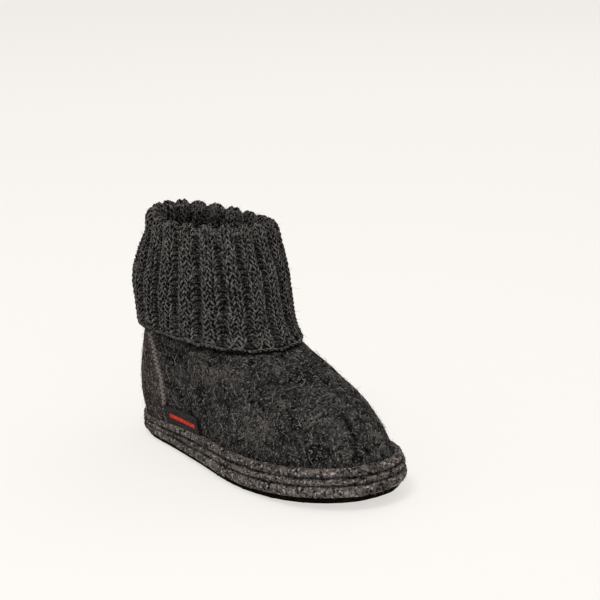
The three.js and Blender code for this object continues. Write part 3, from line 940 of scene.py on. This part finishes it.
class SLIPPER_OT_cuff(bpy.types.Operator):
    """The folded rib knit cuff, loop by loop"""

    bl_idname = "slipper.cuff"
    bl_label = "Knit cuff"

    def execute(self, context):
        sizes, colours = slipper_sizes(context), slipper_colours(context)
        random = np.random.default_rng(7)
        cuff = CuffSurface()
        # The flap's yarn has deep painted shade; the lining, rim and cast-on edge share a copy with less of it.
        yarn = yarn_material("yarn", colours, 0.7)
        rim_yarn_less_shade = yarn_material("rim_yarn_less_shade", colours, 2.2)
        half_flap = FLAP_COURSES // 2
        flap = INNER_COURSES + RIM_COURSES
        parts = (
            ("cuff_lining", 0, INNER_COURSES, 8, 4),
            ("cuff_rim", INNER_COURSES, RIM_COURSES, 10, 6),
            ("cuff_flap_top", flap, half_flap, 12, 6),
            ("cuff_flap_hem", flap + half_flap, FLAP_COURSES - half_flap, 12, 6),
        )
        for name, first, count, steps, sides in parts:
            piece = mesh_piece(name, *knit_courses(cuff, first, count, steps, sides, sizes, random))
            shown = rim_yarn_less_shade if name in ("cuff_lining", "cuff_rim") else yarn
            finished(piece, shown, ["cuff"] if name == "cuff_flap_top" else ())
        edge = mesh_piece("cuff_cast_on_edge", *cast_on_edge(cuff, sizes))
        finished(edge, rim_yarn_less_shade)
        shade_sheet(cuff, colours, sizes)
        return {"FINISHED"}


def stitch_shape(length, radius):
    """One stitch of thread along X: a rounded rod that dips at both ends."""
    bpy.ops.mesh.primitive_cylinder_add(vertices=6, radius=radius, depth=length, rotation=(0, math.pi / 2, 0))
    piece = bpy.context.object
    bpy.ops.object.transform_apply(location=True, rotation=True, scale=True)
    bpy.ops.object.mode_set(mode="EDIT")
    bpy.ops.mesh.select_all(action="SELECT")
    for share in (-0.3, 0, 0.3):
        bpy.ops.mesh.select_all(action="SELECT")
        bpy.ops.mesh.bisect(plane_co=(share * length, 0, 0), plane_no=(1, 0, 0))
    bpy.ops.object.mode_set(mode="OBJECT")
    for vertex in piece.data.vertices:
        share = abs(vertex.co.x) / (length / 2)
        thin = math.sqrt(max(0, 1 - 0.8 * share ** 3))
        vertex.co.y *= thin
        vertex.co.z = vertex.co.z * thin - 2.2 * radius * share ** 2
    return piece


def strung(name, shape, frames):
    """Copies of a small shape at places with axes, as one piece. The shape itself goes."""
    points, _ = points_of(shape)
    mesh = bpy.data.meshes.new(name)
    places, faces = [], []
    for count, (place, axes) in enumerate(frames):
        places.extend((points @ np.array(axes) + np.array(place)).tolist())
        faces.extend([i + count * len(points) for i in face.vertices] for face in shape.data.polygons)
    mesh.from_pydata(places, [], faces)
    bpy.data.objects.remove(shape)
    piece = bpy.data.objects.new(name, mesh)
    bpy.context.collection.objects.link(piece)
    return piece


def thread_material(name, colour):
    shader = Shader(name)
    place = shader.place()
    grain = shader.noise(place, 2600, 2, 0.6)
    mottle = shader.noise(place, 500, 2, 0.6)
    dark = (colour[0] * 0.3, colour[1] * 0.3, colour[2] * 0.3)
    shade = shader.blend((grain * 0.9 + mottle * 0.6 - 0.25).held(), dark, colour)
    normal = shader.bump(grain, 0.15 * MM, 1)
    return shader.finish(Base_Color=shade, Roughness=0.9, Normal=normal, Sheen_Weight=0.2)


def axes_on(along, out):
    """Rows of right-handed axes with X along a line and Z out of the surface."""
    x = along.normalized()
    z = (out - x * out.dot(x)).normalized()
    return [x, z.cross(x), z]


class SLIPPER_OT_heel_seams(bpy.types.Operator):
    """Thread over the two raised heel seams"""

    bl_idname = "slipper.heel_seams"
    bl_label = "Heel seams"

    def execute(self, context):
        sizes, colours = slipper_sizes(context), slipper_colours(context)
        surface = BVHTree.FromObject(bpy.data.objects["felt_upper"], context.evaluated_depsgraph_get())
        frames = []
        for side in (-1, 1):
            height = 10 * MM
            last = None
            count = 0
            while height < 63 * MM:
                start = Vector((seam_x(height), side * 0.2, height))
                hit, out, _, _ = surface.ray_cast(start, Vector((0, -side, 0)))
                height += sizes.seam_pitch
                if hit is None:
                    continue
                if last is not None:
                    up = (hit - last).normalized()
                    across = up.cross(out).normalized()
                    lean = across + up * (0.55 if count % 2 else -0.55)
                    frames.append((hit + out * 0.3 * MM, axes_on(lean, out)))
                last = hit
                count += 1
        stitch = stitch_shape(4.3 * MM, 0.5 * MM)
        piece = strung("heel_seam_thread", stitch, frames)
        finished(piece, thread_material("seam_thread", colours.thread))
        return {"FINISHED"}


def band_line(surface, rise, count):
    """Points round the sole band at a share of its height, with the way it faces."""
    points = []
    for turn in np.linspace(0, 2 * math.pi, count, endpoint=False):
        spine = Vector((0.06 * math.cos(turn), 0, 0))
        out = Vector((math.cos(turn), math.sin(turn), 0))
        x = spine.x + 0.03 * out.x
        for _ in range(3):
            z = BAND_FOOT + rise * float(band_height(x)) + float(toe_lift(x))
            hit, normal, _, _ = surface.ray_cast(Vector((spine.x, spine.y, z)) + out * 0.15, -out)
            x = hit.x
        points.append((hit, normal))
    return points


def even_places(points, pitch):
    """Places at even distances round a closed line, with the way along and the way out."""
    line = np.array([point for point, _ in points])
    ways = np.array([way for _, way in points])
    steps = np.linalg.norm(np.roll(line, -1, axis=0) - line, axis=1)
    travelled = np.concatenate([[0], np.cumsum(steps)])
    line, ways = np.vstack([line, line[:1]]), np.vstack([ways, ways[:1]])
    count = int(travelled[-1] / pitch)
    wanted = np.arange(count) * travelled[-1] / count

    def at(distance, values):
        return np.array([np.interp(distance % travelled[-1], travelled, values[:, i]) for i in range(3)])

    for distance in wanted:
        along = at(distance + 0.5 * MM, line) - at(distance - 0.5 * MM, line)
        yield Vector(at(distance, line)), Vector(along), Vector(at(distance, ways))


class SLIPPER_OT_groove_stitches(bpy.types.Operator):
    """Rows of stitches sunk in the two grooves of the sole band"""

    bl_idname = "slipper.groove_stitches"
    bl_label = "Groove stitches"

    def execute(self, context):
        sizes = slipper_sizes(context)
        random = np.random.default_rng(3)
        surface = BVHTree.FromObject(bpy.data.objects["felt_sole_band"], context.evaluated_depsgraph_get())
        frames = []
        for rise in GROOVE_RISES:
            for place, along, out in even_places(band_line(surface, rise, 260), sizes.groove_pitch):
                lean = along.normalized() + Vector(random.normal(0, 0.06, 3))
                frames.append((place - out.normalized() * 0.05 * MM, axes_on(lean, out)))
        stitch = stitch_shape(2.9 * MM, 0.34 * MM)
        piece = strung("groove_stitches", stitch, frames)
        finished(piece, thread_material("groove_thread", (0.05, 0.04, 0.036)))
        return {"FINISHED"}


class SLIPPER_OT_tag(bpy.types.Operator):
    """The woven tag in the heel seam, bare but for a plain stripe"""

    bl_idname = "slipper.tag"
    bl_label = "Woven tag"

    def execute(self, context):
        colours = slipper_colours(context)
        piece = copied("side_tag", "woven_tag")
        apply_modifier(piece, "BEVEL", width=0.22 * MM, segments=2, limit_method="ANGLE", angle_limit=0.6)
        apply_modifier(piece, "SUBSURF", subdivision_type="SIMPLE", levels=2, render_levels=2)
        places, _ = points_of(piece)
        middle = places.mean(axis=0)
        long_way = np.linalg.svd((places - middle) * (1, 1, 0), full_matrices=False)[2][0]
        long_way *= np.sign(long_way[0])
        along = (places - middle) @ long_way
        slope, level = np.polyfit(along, places[:, 2], 1)
        up = places[:, 2] - slope * along - level
        layer = piece.data.uv_layers.new(name="weave")
        corners = np.array([loop.vertex_index for loop in piece.data.loops])
        layer.data.foreach_set("uv", np.stack([along[corners], up[corners]], axis=1).astype(np.float32).ravel())
        finished(piece, tag_material(colours), ["side_tag"])
        bpy.ops.object.shade_smooth_by_angle(angle=math.radians(40))
        return {"FINISHED"}


def tag_material(colours):
    """Tight ribbon weave with a plain raised stripe along its middle."""
    shader = Shader("tag_weave")
    along, up, _ = shader.parts(shader.node("ShaderNodeUVMap", {"uv_map": "weave"}, {}))
    threads = 0.7 * MM
    warp = (up * (2 * math.pi / threads)).sine() * 0.5 + 0.5
    weft = (along * (2 * math.pi / threads)).sine() * 0.5 + 0.5
    wear = shader.noise(shader.place(), 900, 3, 0.6)
    stripe = ((1 - abs(up + 0.3 * MM) * (1 / (1.1 * MM))) * 4).held()
    span = ((14.5 * MM - abs(along - 2 * MM)) * (1 / (0.4 * MM))).held()
    edge = ((abs(up) - 3.3 * MM) * (1 / (0.2 * MM))).held()
    ground = shader.blend((weft * 0.5 + (wear - 0.5) * 5).held() * 0.8, colours.tag, (0.06, 0.055, 0.052))
    ground = shader.blend(edge * 0.6, ground, (0.03, 0.027, 0.026))
    red = shader.blend((weft * 0.6 + (wear - 0.45) * 4).held() * 0.8, colours.stripe, (0.22, 0.012, 0.01))
    colour = shader.blend(stripe * span, ground, red)
    height = warp * 0.4 + weft * 0.6 + stripe * span * 1.2 + edge
    normal = shader.bump(height, 0.12 * MM, 0.8)
    return shader.finish(Base_Color=colour, Roughness=0.9, Normal=normal, Specular_IOR_Level=0.08)


def scattered(piece, count, random, keep):
    """Random places on a piece's faces, by area, where a test of places and normals keeps them."""
    mesh = piece.data
    areas = np.empty(len(mesh.polygons))
    mesh.polygons.foreach_get("area", areas)
    centres = np.empty(3 * len(areas))
    mesh.polygons.foreach_get("center", centres)
    ways = np.empty(3 * len(areas))
    mesh.polygons.foreach_get("normal", ways)
    centres, ways = centres.reshape(-1, 3), ways.reshape(-1, 3)
    weights = areas * keep(centres, ways)
    chosen = random.choice(len(areas), count, p=weights / weights.sum())
    spread = np.sqrt(areas[chosen])[:, None] * random.uniform(-0.5, 0.5, (count, 3))
    return centres[chosen] + spread - ways[chosen] * np.sum(spread * ways[chosen], axis=1)[:, None], ways[chosen]


def fibre_mesh(name, roots, ways, length, radius, lift, random):
    """Thin pointed fibres that leave a surface at their roots and curl along it."""
    count = len(roots)
    flat = random.normal(0, 1, (count, 3))
    flat -= ways * np.sum(flat * ways, axis=1)[:, None]
    flat /= np.linalg.norm(flat, axis=1, keepdims=True)
    across = np.cross(ways, flat)
    size = length * random.gamma(4, 0.25, (count, 1))
    raised = lift * random.gamma(2, 0.5, (count, 1))
    curl = random.normal(0, 0.5, (count, 1))
    first = flat + ways * (raised + 0.25)
    second = flat + ways * (raised - 0.3) + across * curl
    third = flat + ways * (raised - 0.15) + across * 2.2 * curl
    bends = [roots - ways * 0.2 * MM]
    for way in (first, second, third):
        bends.append(bends[-1] + way / np.linalg.norm(way, axis=1, keepdims=True) * size / 3)
    for bend in bends:
        bend[:, 2] = np.maximum(bend[:, 2], 2 * radius)
    rings = []
    for step, bend in enumerate(bends[:3]):
        for corner in range(3):
            turn = 2 * math.pi * corner / 3
            rings.append(bend + radius * (1 - 0.2 * step) * (math.cos(turn) * ways + math.sin(turn) * across))
    points = np.stack([*rings, bends[3]], axis=1)
    faces = [(0, 1, 2)]
    for step in (0, 3):
        for corner in range(3):
            beside = (corner + 1) % 3
            faces.append((step + beside + 3, step + beside, step + corner))
            faces.append((step + corner + 3, step + beside + 3, step + corner))
    faces += [(9, 6 + (corner + 1) % 3, 6 + corner) for corner in range(3)]
    whole = (np.array(faces)[None] + 10 * np.arange(count)[:, None, None]).reshape(-1, 3)
    return mesh_piece(name, points.reshape(-1, 3), whole)


def fibre_material(name, dark, light):
    shader = Shader(name)
    tone = shader.noise(shader.place(), 700, 1, 0.5)
    colour = shader.blend(((tone - 0.5) * 6).held(), dark, light)
    return shader.finish(Base_Color=colour, Roughness=0.9, Specular_IOR_Level=0.1)


def outer_felt(places, ways):
    """The upper's outside below the flap."""
    return outer_face(places, ways) & (places[:, 2] < 0.068)


def outward(places, ways):
    return np.hypot(ways[:, 0], ways[:, 1]) > 0.3


def everywhere(places, ways):
    return np.ones(len(places))


class SLIPPER_OT_fibres(bpy.types.Operator):
    """Wool fibres that stand off the felt and the knit"""

    bl_idname = "slipper.fibres"
    bl_label = "Stray fibres"

    def execute(self, context):
        sizes, colours = slipper_sizes(context), slipper_colours(context)
        random = np.random.default_rng(21)
        upper, sole = bpy.data.objects["felt_upper"], bpy.data.objects["felt_sole_band"]
        grey, pale = (0.012, 0.011, 0.0105), (0.35, 0.33, 0.31)
        kinds = (
            ("upper_fibres", upper, outer_felt, 4500, 1, 0.06 * MM, 0.35, grey, (0.3, 0.285, 0.27), "upper_felt"),
            ("upper_hairs", upper, outer_felt, 800, 1.7, 0.1 * MM, 0.12, pale, (0.55, 0.52, 0.5), "upper_felt"),
            ("sole_fibres", sole, outward, 3000, 0.8, 0.06 * MM, 0.4, grey, (0.34, 0.31, 0.29), "sole_felt"),
        )
        for name, piece, keep, count, length, radius, lift, dark, light, slot in kinds:
            roots, ways = scattered(piece, count, random, keep)
            fuzz = fibre_mesh(name, roots, ways, length * sizes.fibre_length, radius, lift, random)
            finished(fuzz, fibre_material(name, dark, light))
        for name, count in (("cuff_rim", 2200), ("cuff_flap_top", 3200), ("cuff_flap_hem", 3200)):
            roots, ways = scattered(bpy.data.objects[name], count, random, everywhere)
            fuzz = fibre_mesh(f"{name}_fibres", roots, ways, 0.8 * sizes.fibre_length, 0.075 * MM, 0.4, random)
            finished(fuzz, fibre_material(f"{name}_fibre", grey, (0.42, 0.4, 0.385)))
        return {"FINISHED"}


class SLIPPER_OT_stage(bpy.types.Operator):
    """Pale floor and backdrop, soft lights and the photograph's camera"""

    bl_idname = "slipper.stage"
    bl_label = "Stage"

    def execute(self, context):
        colours = slipper_colours(context)
        self.floor(colours)
        self.camera(context)
        self.lights(context)
        return {"FINISHED"}

    def floor(self, colours):
        bpy.ops.mesh.primitive_plane_add(size=60, location=(0, 0, 0))
        floor = bpy.context.object
        floor.name = "floor"
        shader = Shader("floor_paper")
        grain = shader.noise(shader.place(), 60, 2, 0.5)
        pale = tuple(colours.floor)
        colour = shader.blend(grain, pale, tuple(0.985 * part for part in pale))
        paper = shader.finish(Base_Color=colour, Roughness=0.9, Specular_IOR_Level=0.1,
                              Emission_Color=tuple(colours.floor_glow), Emission_Strength=0.635)
        floor.data.materials.append(paper)

    def camera(self, context):
        place, right, up, back = camera_axes()
        data = bpy.data.cameras.new("camera")
        data.sensor_width = SENSOR
        data.lens = SENSOR * CAMERA_FOCAL / PICTURE
        camera = bpy.data.objects.new("camera", data)
        context.collection.objects.link(camera)
        camera.matrix_world = Matrix.Translation(place) @ Matrix((right, up, back)).transposed().to_4x4()
        context.scene.camera = camera

    def lights(self, context):
        lamps = (
            ("key", (0.3, -1.0, 2.0), 0.9, 20),
            ("fill", (2, -0.6, 1.0), 1.4, 5),
            ("back", (-0.8, 1.6, 1.6), 1.4, 4),
        )
        for name, place, size, power in lamps:
            data = bpy.data.lights.new(name, "AREA")
            data.shape = "DISK"
            data.size = size
            data.energy = power
            data.color = (1, 0.98, 0.955)
            lamp = bpy.data.objects.new(name, data)
            context.collection.objects.link(lamp)
            aim = Vector((0, 0, 0.04)) - Vector(place)
            lamp.matrix_world = Matrix.Translation(place) @ aim.to_track_quat("-Z", "Y").to_matrix().to_4x4()
        world = bpy.data.worlds.new("studio")
        world.use_nodes = True
        sky = world.node_tree.nodes["Background"]
        sky.inputs["Color"].default_value = (1, 0.985, 0.965, 1)
        sky.inputs["Strength"].default_value = 0.6
        context.scene.world = world
        context.scene.view_settings.view_transform = "Standard"


OPERATORS = (
    SLIPPER_OT_upper,
    SLIPPER_OT_sole,
    SLIPPER_OT_insole,
    SLIPPER_OT_outsole,
    SLIPPER_OT_cuff,
    SLIPPER_OT_heel_seams,
    SLIPPER_OT_groove_stitches,
    SLIPPER_OT_tag,
    SLIPPER_OT_fibres,
    SLIPPER_OT_stage,
)


class SLIPPER_PT_panel(bpy.types.Panel):
    """The slipper's pieces, sizes and colours"""

    bl_idname = "SLIPPER_PT_panel"
    bl_label = "Boiled Wool Slipper"
    bl_space_type = "VIEW_3D"
    bl_region_type = "UI"
    bl_category = "Slipper"

    def draw(self, context):
        for group in (slipper_sizes(context), slipper_colours(context)):
            box = self.layout.box()
            for key in group.bl_rna.properties.keys():
                if key not in ("rna_type", "name"):
                    box.prop(group, key)
        for operator in OPERATORS:
            self.layout.operator(operator.bl_idname)


CLASSES = (SlipperSizes, SlipperColours, *OPERATORS, SLIPPER_PT_panel)


def register():
    for cls in CLASSES:
        bpy.utils.register_class(cls)
    bpy.types.Scene.slipper_sizes = bpy.props.PointerProperty(type=SlipperSizes)
    bpy.types.Scene.slipper_colours = bpy.props.PointerProperty(type=SlipperColours)


def unregister():
    del bpy.types.Scene.slipper_colours
    del bpy.types.Scene.slipper_sizes
    for cls in reversed(CLASSES):
        bpy.utils.unregister_class(cls)


def main():
    register()
    for operator in OPERATORS:
        group, name = operator.bl_idname.split(".")
        getattr(getattr(bpy.ops, group), name)()


if __name__ == "__main__":
    main()
